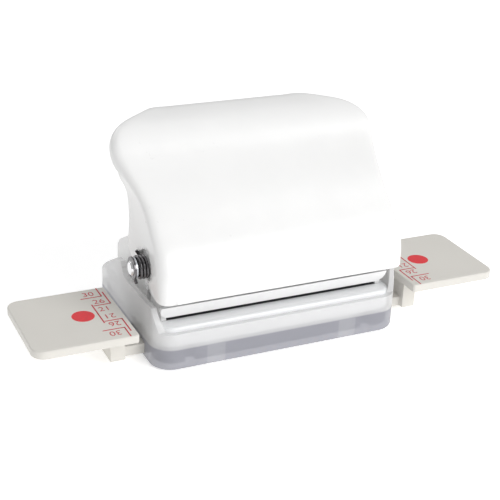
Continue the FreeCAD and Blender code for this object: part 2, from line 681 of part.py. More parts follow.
# Four screws hold the web to bosses moulded inside the cover.
lever_screws = []
boss_tool = []
hole_tool = []
for x in (-HALF_ROW + 3.0, -HALF_ROW / 3, HALF_ROW / 3, HALF_ROW - 3.0):
    seat = WEB_LOW + web_way * (web_length / 2) + web_in * WEB_START
    seat.x = x
    reach_line = Part.makeLine(seat, seat - web_in * 20)
    boss_length = seat.distanceToPoint(inside.distToShape(reach_line)[1][0][0])
    boss_length += size("cover_wall") / 2
    boss_tool.append(Part.makeCylinder(2.8, boss_length, seat - web_in * boss_length, web_in))
    hole_tool.append(Part.makeCylinder(0.9, 2.0, seat - web_in * 2.0, web_in))
    hole_tool.append(Part.makeCylinder(0.9, SHEET_STEEL + 1, seat, web_in))
    shank = Part.makeCylinder(0.9, SHEET_STEEL + 1.8, seat - web_in * 1.8, web_in)
    screw_head = Part.makeCylinder(1.9, 1.2, seat + web_in * SHEET_STEEL, web_in)
    lever_screws.append(shank.fuse(screw_head))
cover = cover.multiFuse(boss_tool).cut(Part.makeCompound(hole_tool))
lever = lever.cut(Part.makeCompound(hole_tool))
node("lever_cover", cover)
node("lever_frame", lever)
node("lever_screws", Part.makeCompound(lever_screws))

roller = rod_x(ROLLER_RADIUS, -LEVER_IN + 0.2, LEVER_IN - 0.2, ROLLER.y, ROLLER.z)
roller = roller.fuse(rod_x(ROLLER_PIN, -LEVER_OUT, LEVER_OUT, ROLLER.y, ROLLER.z))
node("press_roller", roller.removeSplitter())

# ---- chip tray: frosted box round the base, its side walls relieved for the lever -------------
tray = rounded_block(TRAY_HALF, TRAY_FRONT, TRAY_BACK, 0, size("lug_rim"), size("tray_corner"))
floor_edges = [edge for edge in tray.Edges if edge.BoundBox.ZMax < 0.01]
tray = tray.makeFillet(1.2, floor_edges)
well = rounded_block(
    TRAY_IN,
    TRAY_FRONT + size("tray_wall"),
    TRAY_BACK - size("tray_wall"),
    size("tray_floor"),
    size("lug_rim") + 1,
    size("tray_corner") - size("tray_wall"),
)
tray = tray.cut(well)
rim = size("tray_rim")
side_rim = size("side_rim")
lug = size("lug_rim")
over = lug + 5
top_cut = plate_x(
    (
        (TRAY_FRONT - 1, over),
        (TRAY_FRONT - 1, rim),
        (TRAY_FRONT + 2.2, rim),
        (TRAY_FRONT + 4.9, side_rim),
        (7.6, side_rim - 0.5),
        (10.4, side_rim + 0.2),
        (12.2, side_rim + 1.6),
        (12.8, lug),
        (16.8, lug - 0.7),
        (22.0, rim + 6.2),
        (29.0, rim),
        (TRAY_BACK + 1, rim),
        (TRAY_BACK + 1, over),
    ),
    -TRAY_HALF - 1,
    TRAY_HALF + 1,
)
tray = tray.cut(top_cut)

# Ribs inside the front and back walls, on which the base housing stands.
RIB_SPAN = (25.5, 28.5)
front_wall = TRAY_FRONT + size("tray_wall")
back_wall = TRAY_BACK - size("tray_wall")
for side in (-1, 1):
    inner, outer = sorted((side * RIB_SPAN[0], side * RIB_SPAN[1]))
    for near, far in ((front_wall - 0.2, front_wall + 2.0), (back_wall - 2.0, back_wall + 0.2)):
        tray = tray.fuse(box(inner, outer, near, far, 1.0, HOUSING_BOTTOM))

TONGUE_LOW = size("tray_floor") + 0.1
TONGUE_HIGH = TONGUE_LOW + size("tongue_thickness")
TONGUE_HALF = size("tongue_depth") / 2
CHANNEL_IN = TRAY_HALF - size("tongue_reach") - 4.2
for side in (-1, 1):
    inner, outer = sorted((side * CHANNEL_IN, side * (TRAY_IN + 0.2)))
    cap_out = size("tongue_thickness") + TONGUE_LOW + 0.35
    channel = box(inner, outer, -TONGUE_HALF - 1.4, TONGUE_HALF + 1.4, 1.0, cap_out + 0.9)
    tray = tray.fuse(channel)
    inner, outer = sorted((side * (CHANNEL_IN - 1), side * (TRAY_HALF + 1)))
    tunnel = box(inner, outer, -TONGUE_HALF - 0.2, TONGUE_HALF + 0.2, size("tray_floor"), cap_out)
    tray = tray.cut(tunnel)
node("chip_tray", tray.removeSplitter())


# ---- guide arms: paddle, leg and tongue in one moulding ---------------------------------------
def guide_arm():
    """Return the left guide arm."""
    half = size("paddle_depth") / 2
    top = size("paddle_top")
    under = top - size("paddle_thickness")
    paddle = box(-PADDLE_OUT, -PADDLE_IN, -half, half, under, top)
    outer = [
        edge
        for edge in paddle.Edges
        if edge.BoundBox.XMax < -PADDLE_OUT + 0.01 and edge.BoundBox.ZLength > 1
    ]
    paddle = paddle.makeFillet(size("paddle_corner"), outer)
    inner = [
        edge
        for edge in paddle.Edges
        if edge.BoundBox.XMin > -PADDLE_IN - 0.01 and edge.BoundBox.ZLength > 1
    ]
    paddle = paddle.makeFillet(0.8, inner)
    rim_edges = [edge for edge in paddle.Edges if edge.BoundBox.ZMin > top - 0.01]
    paddle = paddle.makeFillet(0.4, rim_edges)
    leg_in = PADDLE_IN + 1.5
    leg_out = leg_in + size("leg_width")
    leg_half = size("leg_depth") / 2
    leg = box(-leg_out, -leg_in, -leg_half, leg_half, TONGUE_LOW, under + 0.2)
    tongue_end = TRAY_HALF - size("tongue_reach")
    tongue = box(
        -leg_out + 0.5, -tongue_end, -TONGUE_HALF, TONGUE_HALF, TONGUE_LOW, TONGUE_HIGH
    )
    return joined([paddle, leg, tongue])


pair("guide_arm", guide_arm())

# ---- detent strips: flat springs that hold the tongues by friction -----------------------------
strip = box(
    -CHANNEL_IN - 9, -CHANNEL_IN - 3, -2.0, 2.0, TONGUE_HIGH + 0.02, TONGUE_HIGH + 0.35
)
pair("detent_strip", strip)

# ---- checks, then one STEP file per node ------------------------------------------------------
DOC.recompute()
for item in DOC.Objects:
    if "Invalid" in item.State or "Error" in item.State:
        raise RuntimeError(f"{item.Label} did not compute: {item.State}")
os.makedirs("parts", exist_ok=True)
for item in NODES:
    if item.Shape.isNull() or not item.Shape.isValid() or not item.Shape.Solids:
        raise RuntimeError(f"{item.Label} is not a valid solid")
    print(f"{item.Label}: {len(item.Shape.Solids)} solid(s), {item.Shape.Volume:.1f} mm3")
    item.Shape.exportStep(f"parts/{item.Label}.step")
print(f"{len(NODES)} nodes written")
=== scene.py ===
"""Looks of the desk hole punch: moulded, enamelled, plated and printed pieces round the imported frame."""

from __future__ import annotations

import json
import logging
import math
from dataclasses import dataclass, field
from enum import Enum
from typing import Any, Iterable, Sequence

import bmesh
import bpy
from mathutils import Matrix, Vector

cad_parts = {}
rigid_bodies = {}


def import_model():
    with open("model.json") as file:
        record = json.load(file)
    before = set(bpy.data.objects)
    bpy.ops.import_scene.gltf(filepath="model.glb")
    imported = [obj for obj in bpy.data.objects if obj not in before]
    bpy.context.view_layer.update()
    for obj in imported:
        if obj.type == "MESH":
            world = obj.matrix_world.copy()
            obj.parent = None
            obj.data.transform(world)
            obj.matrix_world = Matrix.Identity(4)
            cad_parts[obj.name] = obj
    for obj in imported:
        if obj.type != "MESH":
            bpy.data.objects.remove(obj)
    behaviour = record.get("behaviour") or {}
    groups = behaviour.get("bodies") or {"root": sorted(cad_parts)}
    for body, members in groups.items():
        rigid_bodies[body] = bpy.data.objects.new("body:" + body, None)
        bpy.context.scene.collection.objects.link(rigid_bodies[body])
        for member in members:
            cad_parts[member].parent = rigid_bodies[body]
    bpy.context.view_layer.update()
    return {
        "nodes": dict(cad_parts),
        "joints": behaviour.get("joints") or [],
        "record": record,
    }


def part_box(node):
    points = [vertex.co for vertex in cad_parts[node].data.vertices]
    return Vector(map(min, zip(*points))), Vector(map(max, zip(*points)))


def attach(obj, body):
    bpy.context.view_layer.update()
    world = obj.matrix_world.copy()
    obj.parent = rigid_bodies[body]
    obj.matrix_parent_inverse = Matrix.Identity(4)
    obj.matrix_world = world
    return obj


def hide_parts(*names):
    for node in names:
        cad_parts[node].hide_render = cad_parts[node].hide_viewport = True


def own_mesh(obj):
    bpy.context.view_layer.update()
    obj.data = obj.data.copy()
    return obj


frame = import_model()

LOG = logging.getLogger("hole_punch")
MM = 0.001
Colour = tuple[float, float, float]
Point = tuple[float, float, float]


NOISE_SPAN = (0.3, 0.7)  # where most of a noise's values lie


# ---- shader building ------------------------------------------------------------------------
class Signal:
    """One output socket of a shader node, with arithmetic that adds Math nodes."""

    def __init__(self, shader: "Shader", socket: bpy.types.NodeSocket) -> None:
        """Keep the shader that owns the socket."""
        self.shader = shader
        self.socket = socket

    def _math(self, operation: str, first: Any, second: Any) -> "Signal":
        """Return the result of one Math node.

        Args:
            operation: name of the node's operation.
            first: left operand, a signal or a number.
            second: right operand, a signal or a number.

        Returns:
            The node's output.
        """
        return self.shader.node("ShaderNodeMath", {"operation": operation}, {0: first, 1: second})

    def __add__(self, other: Any) -> "Signal":
        """Return self + other."""
        return self._math("ADD", self, other)

    def __mul__(self, other: Any) -> "Signal":
        """Return self * other."""
        return self._math("MULTIPLY", self, other)

    def __sub__(self, other: Any) -> "Signal":
        """Return self - other."""
        return self._math("SUBTRACT", self, other)


class Shader:
    """A node material under construction, around one Principled BSDF."""

    def __init__(self, name: str) -> None:
        """Start an empty material with its output and its Principled BSDF."""
        self.material = bpy.data.materials.new(name)
        self.material.use_nodes = True
        self.tree = self.material.node_tree
        self.tree.nodes.clear()
        self.output = self.tree.nodes.new("ShaderNodeOutputMaterial")
        self.surface = self.tree.nodes.new("ShaderNodeBsdfPrincipled")
        self.tree.links.new(self.surface.outputs[0], self.output.inputs["Surface"])

    def node(self, kind: str, settings: dict[str, Any], inputs: dict[Any, Any], output: Any = 0) -> Signal:
        """Add any node.

        Args:
            kind: the node's type.
            settings: its properties, set first.
            inputs: values or signals by socket name or index.
            output: which output to return.

        Returns:
            The chosen output as a signal.
        """
        made = self.tree.nodes.new(kind)
        for key, value in settings.items():
            setattr(made, key, value)
        for key, value in inputs.items():
            self.feed(made.inputs[key], value)
        return Signal(self, made.outputs[output])

    def feed(self, socket: bpy.types.NodeSocket, value: Any) -> None:
        """Link a signal to a socket, or set the socket's own value."""
        if isinstance(value, Signal):
            self.tree.links.new(value.socket, socket)
        else:
            socket.default_value = value

    def set(self, **values: Any) -> None:
        """Feed the Principled BSDF's sockets; underscores in the names stand for spaces."""
        for key, value in values.items():
            self.feed(self.surface.inputs[key.replace("_", " ")], value)

    def place(self, stretch: Point = (1.0, 1.0, 1.0)) -> Signal:
        """Return object coordinates, stretched along the three axes."""
        source = self.node("ShaderNodeTexCoord", {}, {}, "Object")
        return self.node("ShaderNodeMapping", {}, {"Vector": source, "Scale": stretch})

    def axis(self, name: str) -> Signal:
        """Return one object coordinate: X, Y or Z."""
        return self.node("ShaderNodeSeparateXYZ", {}, {"Vector": self.place()}, name)

    def noise(self, where: Signal, scale: float, detail: float = 2.0, rough: float = 0.5) -> Signal:
        """Return a smooth noise between 0 and 1."""
        inputs = {"Vector": where, "Scale": scale, "Detail": detail, "Roughness": rough}
        return self.node("ShaderNodeTexNoise", {}, inputs)

    def ramp(self, signal: Signal, low: float, high: float, start: float, end: float) -> Signal:
        """Return a signal remapped from low..high to start..end and clamped."""
        return self.node(
            "ShaderNodeMapRange",
            {"clamp": True},
            {"Value": signal, "From Min": low, "From Max": high, "To Min": start, "To Max": end},
        )

    def mix(self, factor: Signal, first: Signal | Colour, second: Colour) -> Signal:
        """Return a colour mixed between two."""
        made = self.tree.nodes.new("ShaderNodeMix")
        made.data_type = "RGBA"
        self.feed(made.inputs[0], factor)
        self.feed(made.inputs[6], first if isinstance(first, Signal) else (*first, 1.0))
        self.feed(made.inputs[7], (*second, 1.0))
        return Signal(self, made.outputs[2])

    def within(self, axis: str, low: float, high: float, blend: float) -> Signal:
        """Return 1 where an object coordinate lies between two limits and 0 elsewhere."""
        where = self.axis(axis)
        above = self.ramp(where, low - blend, low, 0.0, 1.0)
        below = self.ramp(where, high, high + blend, 1.0, 0.0)
        return above * below

    def bump(self, height: Signal, strength: float, distance: float) -> None:
        """Bump the surface by a height signal; the distance is in metres."""
        normal = self.node(
            "ShaderNodeBump", {}, {"Strength": strength, "Distance": distance, "Height": height}
        )
        self.set(Normal=normal)


def shaded(colour: Colour, factor: float) -> Colour:
    """Return a colour made darker or lighter."""
    return tuple(min(1.0, channel * factor) for channel in colour)


# Painted shadow: near-black colour laid on the table under the guide plate, so that the paper slot reads as
# a dark line.
SLOT_SHADE: Colour = (0.035, 0.036, 0.04)
SLOT_SHADE_BLEND = 0.2 * MM


def paper_slot() -> tuple[Point, Point]:
    """Return the box under the guide plate where the paper goes, as its low and high corners."""
    low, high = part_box("guide_plate")
    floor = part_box("die_plate")[1].z
    end, front, depth = 1.0 * MM, 2.3 * MM, 0.3 * MM
    return (low.x + end, low.y + front, floor - depth), (high.x - end, high.y - end, floor + depth)


@dataclass(frozen=True)
class Moulded:
    """Injection-moulded plastic: flow marks, fine spark grain, a little handling wear and, where a slot box
    is given, a painted shadow in the paper slot.
    """

    name: str
    colour: Colour
    roughness: float
    grain: float = 900.0
    grain_depth: float = 0.02
    coat: float = 0.0
    scatter: float = 0.0
    painted_slot_shade: tuple[Point, Point] | None = None

    def make(self) -> bpy.types.Material:
        """Return the material; the slot box, in metres, is painted nearly black, a painted shadow so that
        the paper slot reads as a dark line.
        """
        shader = Shader(self.name)
        where = shader.place()
        flow = shader.noise(shader.place((1.0, 0.5, 0.35)), 38.0, 3.0)
        grain = shader.noise(where, self.grain, 2.0, 0.6)
        handling = shader.noise(where, 140.0, 4.0, 0.65)
        tone = shader.ramp(flow * 0.7 + handling * 0.3, *NOISE_SPAN, 0.0, 1.0)
        roughness = shader.ramp(handling, *NOISE_SPAN, self.roughness * 0.86, self.roughness * 1.16)
        colour = shader.mix(tone, shaded(self.colour, 0.975), shaded(self.colour, 1.015))
        # Painted shadow: the box inside the paper slot is coloured nearly black.
        if self.painted_slot_shade:
            low, high = self.painted_slot_shade
            slot_shade = shader.within("X", low[0], high[0], SLOT_SHADE_BLEND)
            slot_shade = slot_shade * shader.within("Y", low[1], high[1], SLOT_SHADE_BLEND)
            slot_shade = slot_shade * shader.within("Z", low[2], high[2], SLOT_SHADE_BLEND)
            colour = shader.mix(slot_shade, colour, SLOT_SHADE)
        shader.set(
            Base_Color=colour,
            Roughness=roughness + grain * 0.03,
            IOR=1.49,
            Coat_Weight=self.coat,
            Coat_Roughness=0.12,
            Subsurface_Weight=self.scatter,
            Subsurface_Radius=(0.006, 0.006, 0.006),
            Subsurface_Scale=0.35,
        )
        shader.bump(grain, 0.5, self.grain_depth * MM)
        return shader.material


@dataclass(frozen=True)
class Frosted:
    """Thin see-through plastic in two colours set by height: pale above the lap height, and below it a
    painted shade for the dark hollow behind the wall.
    """

    name: str
    pale: Colour
    hollow_shade: Colour
    cover: float
    roughness: float
    lap_height: float = 6.3 * MM
    clip_middle: float = 20.05 * MM
    clip_half_width: float = 2.65 * MM
    blend: float = 0.25 * MM
    clip_tint: float = 0.16
    hollow_shade_share: float = 1.3
    grain_depth: float = 0.02 * MM

    def make(self) -> bpy.types.Material:
        """Return the material.

        cover is the share of light that the pale parts stop; the parts with painted shade stop the shade
        share times as much.
        """
        shader = Shader(self.name)
        where = shader.place()
        grain = shader.noise(where, 1300.0, 2.0, 0.6)
        flow = shader.noise(where, 45.0, 3.0)
        above = shader.ramp(
            shader.axis("Z"), self.lap_height - self.blend, self.lap_height + self.blend, 0.0, 1.0
        )
        from_clip = shader.node("ShaderNodeMath", {"operation": "ABSOLUTE"}, {0: shader.axis("X")})
        from_clip = shader.node(
            "ShaderNodeMath", {"operation": "ABSOLUTE"}, {0: from_clip - self.clip_middle}
        )
        clip = shader.ramp(
            from_clip,
            self.clip_half_width - self.blend,
            self.clip_half_width + self.blend,
            self.clip_tint,
            0.0,
        )
        light = shader.node("ShaderNodeMath", {"operation": "MAXIMUM"}, {0: above, 1: clip})
        shader.set(
            # Painted shade below the lap height for the hollow behind the wall, lifted a little at the two
            # clip zones.
            Base_Color=shader.mix(light, self.hollow_shade, self.pale),
            Roughness=shader.ramp(flow, *NOISE_SPAN, self.roughness * 0.85, self.roughness * 1.15),
            Alpha=shader.ramp(light, 0.0, 1.0, self.cover * self.hollow_shade_share, self.cover),
            IOR=1.49,
        )
        shader.bump(grain, 0.5, self.grain_depth)
        return shader.material


@dataclass(frozen=True)
class Plated:
    """Plated or bare steel: drawing lines along one axis and faint fingermarks."""

    name: str
    colour: Colour
    roughness: float
    stretch: Point = (0.05, 1.0, 1.0)
    line_scale: float = 2600.0
    line_depth: float = 0.004

    def make(self) -> bpy.types.Material:
        """Return the material."""
        shader = Shader(self.name)
        lines = shader.noise(shader.place(self.stretch), self.line_scale, 3.0, 0.6)
        marks = shader.noise(shader.place(), 260.0, 4.0, 0.6)
        tone = shader.ramp(lines * 0.6 + marks * 0.4, *NOISE_SPAN, 0.0, 1.0)
        roughness = shader.ramp(marks, *NOISE_SPAN, self.roughness * 0.75, self.roughness * 1.3)
        shader.set(
            Base_Color=shader.mix(tone, shaded(self.colour, 0.86), shaded(self.colour, 1.08)),
            Roughness=roughness + lines * 0.04,
            Metallic=1.0,
        )
        shader.bump(lines, 0.4, self.line_depth * MM)
        return shader.material


@dataclass(frozen=True)
class Enamel:
    """Baked enamel on steel: orange peel under a clear gloss."""

    name: str
    colour: Colour
    roughness: float

    def make(self) -> bpy.types.Material:
        """Return the material."""
        shader = Shader(self.name)
        where = shader.place()
        peel = shader.noise(where, 520.0, 2.0)
        dust = shader.noise(where, 90.0, 5.0, 0.7)
        tone = shader.ramp(dust, 0.35, 0.7, 0.0, 1.0)
        shader.set(
            Base_Color=shader.mix(tone, shaded(self.colour, 1.01), shaded(self.colour, 0.965)),
            Roughness=shader.ramp(dust, *NOISE_SPAN, self.roughness * 0.85, self.roughness * 1.25),
            Coat_Weight=0.5,
            Coat_Roughness=0.08,
        )
        shader.bump(peel, 0.35, 0.02 * MM)
        return shader.material


@dataclass(frozen=True)
class Ink:
    """Pad-printed ink: slightly uneven cover and a soft edge to its shine."""

    name: str
    colour: Colour

    def make(self) -> bpy.types.Material:
        """Return the material."""
        shader = Shader(self.name)
        cover = shader.noise(shader.place(), 1400.0, 4.0, 0.7)
        tone = shader.ramp(cover, 0.35, 0.65, 0.0, 1.0)
        shader.set(
            Base_Color=shader.mix(tone, self.colour, shaded(self.colour, 1.18)),
            Roughness=shader.ramp(cover, *NOISE_SPAN, 0.42, 0.6),
        )
        shader.bump(cover, 0.3, 0.01 * MM)
        return shader.material


class Slot(Enum):
    """The record's material slots."""

    COVER = "cover_plastic"
    WHITE = "white_plastic"
    ENAMEL = "white_enamel"
    FROSTED = "frosted_plastic"
    CREAM = "cream_plastic"
    SPRING = "spring_steel"
    PLATED = "plated_steel"
    ZINC = "zinc_steel"
    GROUND = "ground_steel"


FINISHES = {
    Slot.COVER: Moulded("cover_gloss", (0.885, 0.885, 0.88), 0.30, 700.0, 0.006, 0.35, 0.04),
    # The base's white plastic carries a painted shadow in the paper slot.
    Slot.WHITE: Moulded(
        "base_gloss", (0.88, 0.89, 0.90), 0.20, 600.0, 0.004, 0.4, 0.04, painted_slot_shade=paper_slot()
    ),
    # Painted shade: the cheeks' white enamel is coloured darker for their shaded sides.
    Slot.ENAMEL: Enamel("shaded_cheek_enamel", (0.78, 0.78, 0.775), 0.32),
    # The tray's second colour is painted shade for the dark hollow behind its lower wall.
    Slot.FROSTED: Frosted("tray_frost", (0.90, 0.90, 0.905), (0.37, 0.372, 0.415), 0.5, 0.40),
    Slot.CREAM: Moulded("guide_cream", (0.70, 0.68, 0.635), 0.46, 1500.0, 0.03),
    Slot.SPRING: Plated("spring_wire", (0.15, 0.145, 0.15), 0.2, (1.0, 0.2, 0.2), 1800.0),
    Slot.PLATED: Plated("rod_bright", (0.86, 0.86, 0.87), 0.12, (1.0, 0.2, 0.2)),
    Slot.ZINC: Plated("zinc_plate", (0.62, 0.64, 0.67), 0.34),
    Slot.GROUND: Plated("ground_steel", (0.56, 0.56, 0.58), 0.28, (1.0, 1.0, 0.05)),
}


# Painted light: the same white enamel coloured lighter for the lit lip of the guide plate.
LIT_LIP_ENAMEL = Enamel("lit_lip_enamel", (0.93, 0.93, 0.93), 0.2)


class Palette:
    """Makes each finish once and hands it out."""

    def __init__(self) -> None:
        """Start with nothing made."""
        self._made: dict[str, bpy.types.Material] = {}

    def take(self, finish: Any) -> bpy.types.Material:
        """Return the material of a finish, made on first use."""
        if finish.name not in self._made:
            self._made[finish.name] = finish.make()
        return self._made[finish.name]

    def slot(self, slot: Slot) -> bpy.types.Material:
        """Return the material of one of the record's slots."""
        return self.take(FINISHES[slot])


# ---- mesh helpers -----------------------------------------------------------------------------
def new_object(name: str, mesh: bpy.types.Mesh) -> bpy.types.Object:
    """Return a new object at the origin that holds a mesh."""
    made = bpy.data.objects.new(name, mesh)
    bpy.context.scene.collection.objects.link(made)
    return made


def baked(source: bpy.types.Object, name: str) -> bpy.types.Object:
    """Return a plain copy of an object with its modifiers applied, and remove the source.

    Args:
        source: object with live modifiers.
        name: name of the result.

    Returns:
        The finished object at the origin.
    """
    bpy.context.view_layer.update()
    evaluated = source.evaluated_get(bpy.context.evaluated_depsgraph_get())
    mesh = bpy.data.meshes.new_from_object(evaluated)
    bpy.data.objects.remove(source)
    mesh.name = name
    return new_object(name, mesh)


def settle(piece: bpy.types.Object, body: str, nodes: Sequence[str] = ()) -> bpy.types.Object:
    """Let a piece ride on its body and stand for CAD nodes."""
    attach(piece, body)
    if nodes:
        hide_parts(*nodes)
    LOG.info("%s rides on %s, %d faces", piece.name, body, len(piece.data.polygons))
    return piece


def body_of_node(node: str) -> str:
    """Return the body that holds a CAD node."""
    bodies = frame["record"]["behaviour"]["bodies"]
    return next(body for body, members in bodies.items() if node in members)


@dataclass(frozen=True)
class SoftCopy:
    """A copy of a CAD node with its doubles merged and its hard edges rounded."""

    node: str
    slot: Slot
    edge: float = 0.25
    flat_limit: float = 0.4
    crease: float = 32.0
    finish: Enamel | None = None

    def build(self, palette: Palette) -> bpy.types.Object:
        """Return the finished piece, in place of its CAD node."""
        mesh = frame["nodes"][self.node].data.copy()
        mesh.materials.clear()
        work = bmesh.new()
        work.from_mesh(mesh)
        bmesh.ops.remove_doubles(work, verts=work.verts, dist=0.002 * MM)
        bmesh.ops.dissolve_limit(
            work, angle_limit=math.radians(self.flat_limit), verts=work.verts, edges=work.edges
        )
        work.to_mesh(mesh)
        work.free()
        mesh.shade_smooth()
        source = new_object(f"{self.node}_source", mesh)
        bevel = source.modifiers.new("edge", "BEVEL")
        bevel.width = self.edge * MM
        bevel.segments = 3
        bevel.limit_method = "ANGLE"
        bevel.angle_limit = math.radians(self.crease)
        bevel.harden_normals = True
        piece = baked(source, f"{self.node}_moulding")
        piece.data.set_sharp_from_angle(angle=math.radians(self.crease))
        piece.data.materials.append(palette.take(self.finish or FINISHES[self.slot]))
        return settle(piece, body_of_node(self.node), (self.node,))


# ---- geometry nodes ---------------------------------------------------------------------------
class Plan:
    """A Geometry Nodes tree with named number inputs."""

    def __init__(self, name: str, inputs: dict[str, float]) -> None:
        """Start the tree with a geometry input and output and its number inputs."""
        self.tree = bpy.data.node_groups.new(name, "GeometryNodeTree")
        face = self.tree.interface
        face.new_socket("Geometry", in_out="INPUT", socket_type="NodeSocketGeometry")
        face.new_socket("Geometry", in_out="OUTPUT", socket_type="NodeSocketGeometry")
        self.ids: dict[str, str] = {}
        for key, value in inputs.items():
            socket = face.new_socket(key, in_out="INPUT", socket_type="NodeSocketFloat")
            socket.default_value = value
            self.ids[key] = socket.identifier
        self.start = self.tree.nodes.new("NodeGroupInput")
        self.end = self.tree.nodes.new("NodeGroupOutput")

    def node(self, kind: str, settings: dict[str, Any], inputs: dict[Any, Any]) -> bpy.types.Node:
        """Add any node.

        Args:
            kind: the node's type.
            settings: its properties, set first.
            inputs: values or output sockets by input name or index.

        Returns:
            The node.
        """
        made = self.tree.nodes.new(kind)
        for key, value in settings.items():
            setattr(made, key, value)
        for key, value in inputs.items():
            if isinstance(value, bpy.types.NodeSocket):
                self.tree.links.new(value, made.inputs[key])
            else:
                made.inputs[key].default_value = value
        return made

    def close(self, geometry: bpy.types.NodeSocket, material: bpy.types.Material) -> None:
        """End the tree in Realize Instances and Set Material."""
        real = self.node("GeometryNodeRealizeInstances", {}, {"Geometry": geometry})
        dressed = self.node(
            "GeometryNodeSetMaterial", {}, {"Geometry": real.outputs[0], "Material": material}
        )
        self.tree.links.new(dressed.outputs[0], self.end.inputs[0])

    def run(self, source: bpy.types.Object, name: str, values: dict[str, float]) -> bpy.types.Object:
        """Apply the tree to an object and return the plain result."""
        modifier = source.modifiers.new("plan", "NODES")
        modifier.node_group = self.tree
        for key, value in values.items():
            modifier[self.ids[key]] = value
        return baked(source, name)


def wire_plan(name: str, material: bpy.types.Material) -> Plan:
    """Return a tree that sweeps a round wire along a path.

    Args:
        name: name of the tree.
        material: finish of the wire.

    Returns:
        The tree, with the input "Wire Radius".
    """
    plan = Plan(name, {"Wire Radius": 0.0005})
    radius = plan.start.outputs["Wire Radius"]
    path = plan.node("GeometryNodeMeshToCurve", {}, {"Mesh": plan.start.outputs[0]})
    ring = plan.node("GeometryNodeCurvePrimitiveCircle", {}, {"Resolution": 16, "Radius": radius})
    tube = plan.node(
        "GeometryNodeCurveToMesh",
        {},
        {"Curve": path.outputs[0], "Profile Curve": ring.outputs[0], "Fill Caps": True},
    )
    smooth = plan.node("GeometryNodeSetShadeSmooth", {}, {"Geometry": tube.outputs[0]})
    plan.close(smooth.outputs[0], material)
    return plan


def path_object(name: str, paths: Iterable[Sequence[Vector]]) -> bpy.types.Object:
    """Return a mesh object that holds open paths as edges."""
    points: list[Vector] = []
    edges: list[tuple[int, int]] = []
    for path in paths:
        first = len(points)
        points += list(path)
        edges += [(first + step, first + step + 1) for step in range(len(path) - 1)]
    mesh = bpy.data.meshes.new(name)
    mesh.from_pydata(points, edges, [])
    return new_object(name, mesh)


def bent(points: Sequence[Vector], samples: int) -> list[Vector]:
    """Return a quadratic arc through a bend: start, control point and end."""
    start, control, end = points
    arc = []
    for step in range(samples + 1):
        share = step / samples
        arc.append(start * (1 - share) ** 2 + control * 2 * share * (1 - share) + end * share**2)
    return arc


# ---- springs ----------------------------------------------------------------------------------
@dataclass
class SideSpring:
    """The torsion spring on the left end of the pivot rod."""

    palette: Palette
    wire: float = 0.85 * MM
    coil: float = 2.85 * MM
    turns: float = 3.0
    step: float = 0.88 * MM
    lean: float = math.radians(110.0)
    up_leg: float = 4.2 * MM
    down_leg: float = 4.6 * MM
    shift: float = 0.4 * MM
    steps_per_turn: int = 40

    def build(self) -> bpy.types.Object:
        """Return the spring: two legs and a close-wound coil as one wire."""
        hinge = next(joint for joint in frame["joints"] if joint["name"] == "lever_hinge")
        pivot = Vector(hinge["pos_m"])
        start_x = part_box("side_spring")[1].x - self.wire / 2
        way = Vector((0.0, math.cos(self.lean), -math.sin(self.lean)))
        count = int(self.turns * self.steps_per_turn)
        coil = []
        for index in range(count + 1):
            turned = index / self.steps_per_turn
            angle = self.lean + 2 * math.pi * turned
            reach = (self.coil * math.sin(angle), self.coil * math.cos(angle))
            coil.append(pivot + Vector((start_x - self.step * turned, *reach)))
        inner, outer = coil[0], coil[-1]
        up_end = inner - way * self.up_leg - Vector((self.step + self.shift, 0.0, 0.0))
        down_end = outer + way * self.down_leg + Vector((self.shift, 0.0, 0.0))
        up_leg = bent((up_end, inner - way * self.up_leg * 0.5, inner), 10)
        down_leg = bent((outer, outer + way * self.down_leg * 0.55, down_end), 10)
        source = path_object("side_spring_path", [up_leg[:-1] + coil + down_leg[1:]])
        plan = wire_plan("spring_wire_plan", self.palette.slot(Slot.SPRING))
        piece = plan.run(source, "side_spring_wire", {"Wire Radius": self.wire / 2})
        return settle(piece, "base", ("side_spring",))


@dataclass
class ReturnSprings:
    """Six open coils that lift the punches, one round each."""

    palette: Palette
    wire: float = 0.6 * MM
    turns: int = 5
    steps_per_turn: int = 20
    travel: float = 4.4 * MM

    def build(self) -> list[bpy.types.Object]:
        """Return the six springs."""
        return [self._spring(number) for number in range(1, 7)]

    def _spring(self, number: int) -> bpy.types.Object:
        """Return one spring in place of its CAD node."""
        node = f"return_spring_{number}"
        low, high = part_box(node)
        centre = (low + high) / 2
        radius = (high.x - low.x) / 2 - self.wire / 2
        height = high.z - low.z - self.wire
        count = self.turns * self.steps_per_turn
        path = [
            Vector(
                (
                    centre.x + radius * math.cos(2 * math.pi * step / self.steps_per_turn),
                    centre.y + radius * math.sin(2 * math.pi * step / self.steps_per_turn),
                    low.z + self.wire / 2 + height * step / count,
                )
            )
            for step in range(count + 1)
        ]
        source = path_object(f"{node}_path", [path])
        plan = wire_plan(f"{node}_plan", self.palette.slot(Slot.SPRING))
        piece = plan.run(source, f"{node}_wire", {"Wire Radius": self.wire / 2})
        settle(piece, "base", (node,))
        length = high.z - low.z
        1 - self.travel / length
        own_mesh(piece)
        return piece


# ---- printed marks ----------------------------------------------------------------------------
@dataclass(frozen=True)
class Mark:
    """One sheet size on a guide: its numeral, its line and where both stand, in millimetres."""

    numeral: str
    line: tuple[tuple[float, float], ...]
    centre: tuple[float, float]


